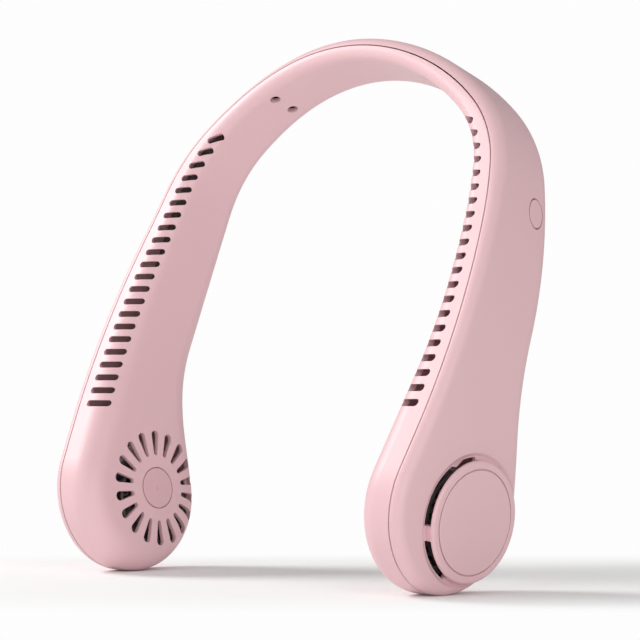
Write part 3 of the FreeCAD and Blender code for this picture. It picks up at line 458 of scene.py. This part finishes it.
def winding_tree():
    """Nine coils of lacquered wire, each one unbroken winding round its pole."""
    tree, size = maker_tree("pole_windings", {
        "Pole Count": 9, "Turns": 5.0, "Start Radius": 4.95 * mm, "End Radius": 6.35 * mm,
        "Half Width": 1.0 * mm, "Half Height": 2.6 * mm, "Wire Radius": 0.13 * mm,
        "Middle": 11.1 * mm})
    run = sum_of(tree, size["End Radius"], size["Start Radius"], "SUBTRACT")
    wide = sum_of(tree, size["Half Height"], wire_overshoot_share, "MULTIPLY")
    helix = node(tree, "GeometryNodeCurveSpiral")
    feed(tree, helix, Resolution=wire_steps_per_turn, Rotations=size["Turns"], Start_Radius=wide,
         End_Radius=wide, Height=run)
    place = node(tree, "GeometryNodeInputPosition").outputs[0]
    at = feed(tree, node(tree, "ShaderNodeSeparateXYZ"), Vector=place).outputs

    def held(value, half):
        """Keeps a value within half a width on either side of the middle."""
        low = sum_of(tree, half, -1.0, "MULTIPLY")
        return sum_of(tree, sum_of(tree, value, half, "MINIMUM"), low, "MAXIMUM")

    loop = point(tree, X=sum_of(tree, size["Start Radius"], at["Z"]),
                 Y=held(at["X"], size["Half Width"]),
                 Z=sum_of(tree, size["Middle"], held(at["Y"], size["Half Height"])))
    bent = node(tree, "GeometryNodeSetPosition")
    feed(tree, bent, Geometry=helix.outputs[0], Position=loop)
    round_wire = node(tree, "GeometryNodeCurvePrimitiveCircle")
    feed(tree, round_wire, Resolution=wire_sides, Radius=size["Wire Radius"])
    wire = swept(tree, bent.outputs[0], round_wire.outputs[0], caps=True)
    return close_tree(tree, size["Finish"], [ring_of(tree, wire, size["Pole Count"])])


fan_wheel = fan_wheel_tree()
pole_windings = winding_tree()
for side in ("left", "right"):
    wheel = made_piece(fan_wheel, side + "_fan_wheel", finishes["impeller"], pod_matrix(side))
    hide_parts(side + "_impeller")
    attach(wheel, side + "_fan")
    wound = made_piece(pole_windings, side + "_windings", finishes["copper"], pod_matrix(side))
    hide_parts(side + "_coils")
    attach(wound, "housing")


# Floor, light and camera

def mixed(tree, amount, first, second, output):
    """Joins two shaders by an amount and hands the result to the output node."""
    mix = node(tree, "ShaderNodeMixShader")
    for i, source in enumerate((amount, first.outputs[0], second.outputs[0])):
        tree.links.new(source, mix.inputs[i])
    tree.links.new(mix.outputs[0], tree.nodes[output].inputs["Surface"])


def stage_floor():
    """Pale floor that takes the shadow near the fan and is plain white to the eye further away."""
    mesh = bpy.data.meshes.new("floor")
    corners = [(x * floor_half, y * floor_half, 0) for x, y in ((-1, -1), (1, -1), (1, 1), (-1, 1))]
    mesh.from_pydata(corners, [], [(0, 1, 2, 3)])
    floor = bpy.data.objects.new("floor", mesh)
    bpy.context.scene.collection.objects.link(floor)
    m = bpy.data.materials.new("pale_floor")
    m.use_nodes = True
    tree = m.node_tree
    shader = tree.nodes["Principled BSDF"]
    feed(tree, shader, Base_Color=floor_tone, Roughness=floor_rough, Specular_IOR_Level=0.0)
    glow = feed(tree, node(tree, "ShaderNodeEmission"), Color=studio_white)
    spread = node(tree, "ShaderNodeMapping", vector_type="TEXTURE")
    feed(tree, spread, Vector=node(tree, "ShaderNodeTexCoord").outputs["Object"], Scale=fade_reach,
         Rotation=(0.0, 0.0, math.radians(camera_turn_deg)))
    away = node(tree, "ShaderNodeVectorMath", operation="LENGTH")
    tree.links.new(spread.outputs[0], away.inputs[0])
    fade = node(tree, "ShaderNodeMapRange", interpolation_type="SMOOTHSTEP")
    feed(tree, fade, Value=away.outputs["Value"], From_Min=fade_start, From_Max=fade_end)
    path = node(tree, "ShaderNodeLightPath").outputs
    seen = sum_of(tree, path["Is Camera Ray"], path["Is Glossy Ray"], use_clamp=True)
    amount = sum_of(tree, fade.outputs[0], seen, "MULTIPLY")
    mixed(tree, amount, shader, glow, "Material Output")
    mesh.materials.append(m)


def studio_world():
    """Even light from all round, with plain white behind the fan."""
    world = bpy.data.worlds.new("studio")
    bpy.context.scene.world = world
    world.use_nodes = True
    tree = world.node_tree
    back = feed(tree, tree.nodes["Background"], Color=surround_tone, Strength=surround_level)
    plain = feed(tree, node(tree, "ShaderNodeBackground"), Color=studio_white)
    path = node(tree, "ShaderNodeLightPath").outputs
    mixed(tree, path["Is Camera Ray"], back, plain, "World Output")


def area_light(name, place, target, size, watts, colour):
    data = bpy.data.lights.new(name, "AREA")
    data.shape = "DISK"
    data.size = size
    data.energy = watts
    data.color = colour
    lamp = bpy.data.objects.new(name, data)
    bpy.context.scene.collection.objects.link(lamp)
    lamp.location = place
    lamp.rotation_euler = (Vector(target) - Vector(place)).to_track_quat("-Z", "Y").to_euler()


def photo_camera():
    data = bpy.data.cameras.new("camera")
    data.sensor_width = camera_sensor_mm
    data.lens = camera_lens_mm
    data.clip_start = camera_near
    camera = bpy.data.objects.new("camera", data)
    bpy.context.scene.collection.objects.link(camera)
    camera.location = camera_place
    camera.rotation_euler = (math.radians(camera_tilt_deg), 0.0, math.radians(camera_turn_deg))
    bpy.context.scene.camera = camera


stage_floor()
studio_world()
for lamp_name, setting in lamps.items():
    area_light(lamp_name, *setting)
photo_camera()
bpy.context.scene.view_settings.view_transform = "Standard"
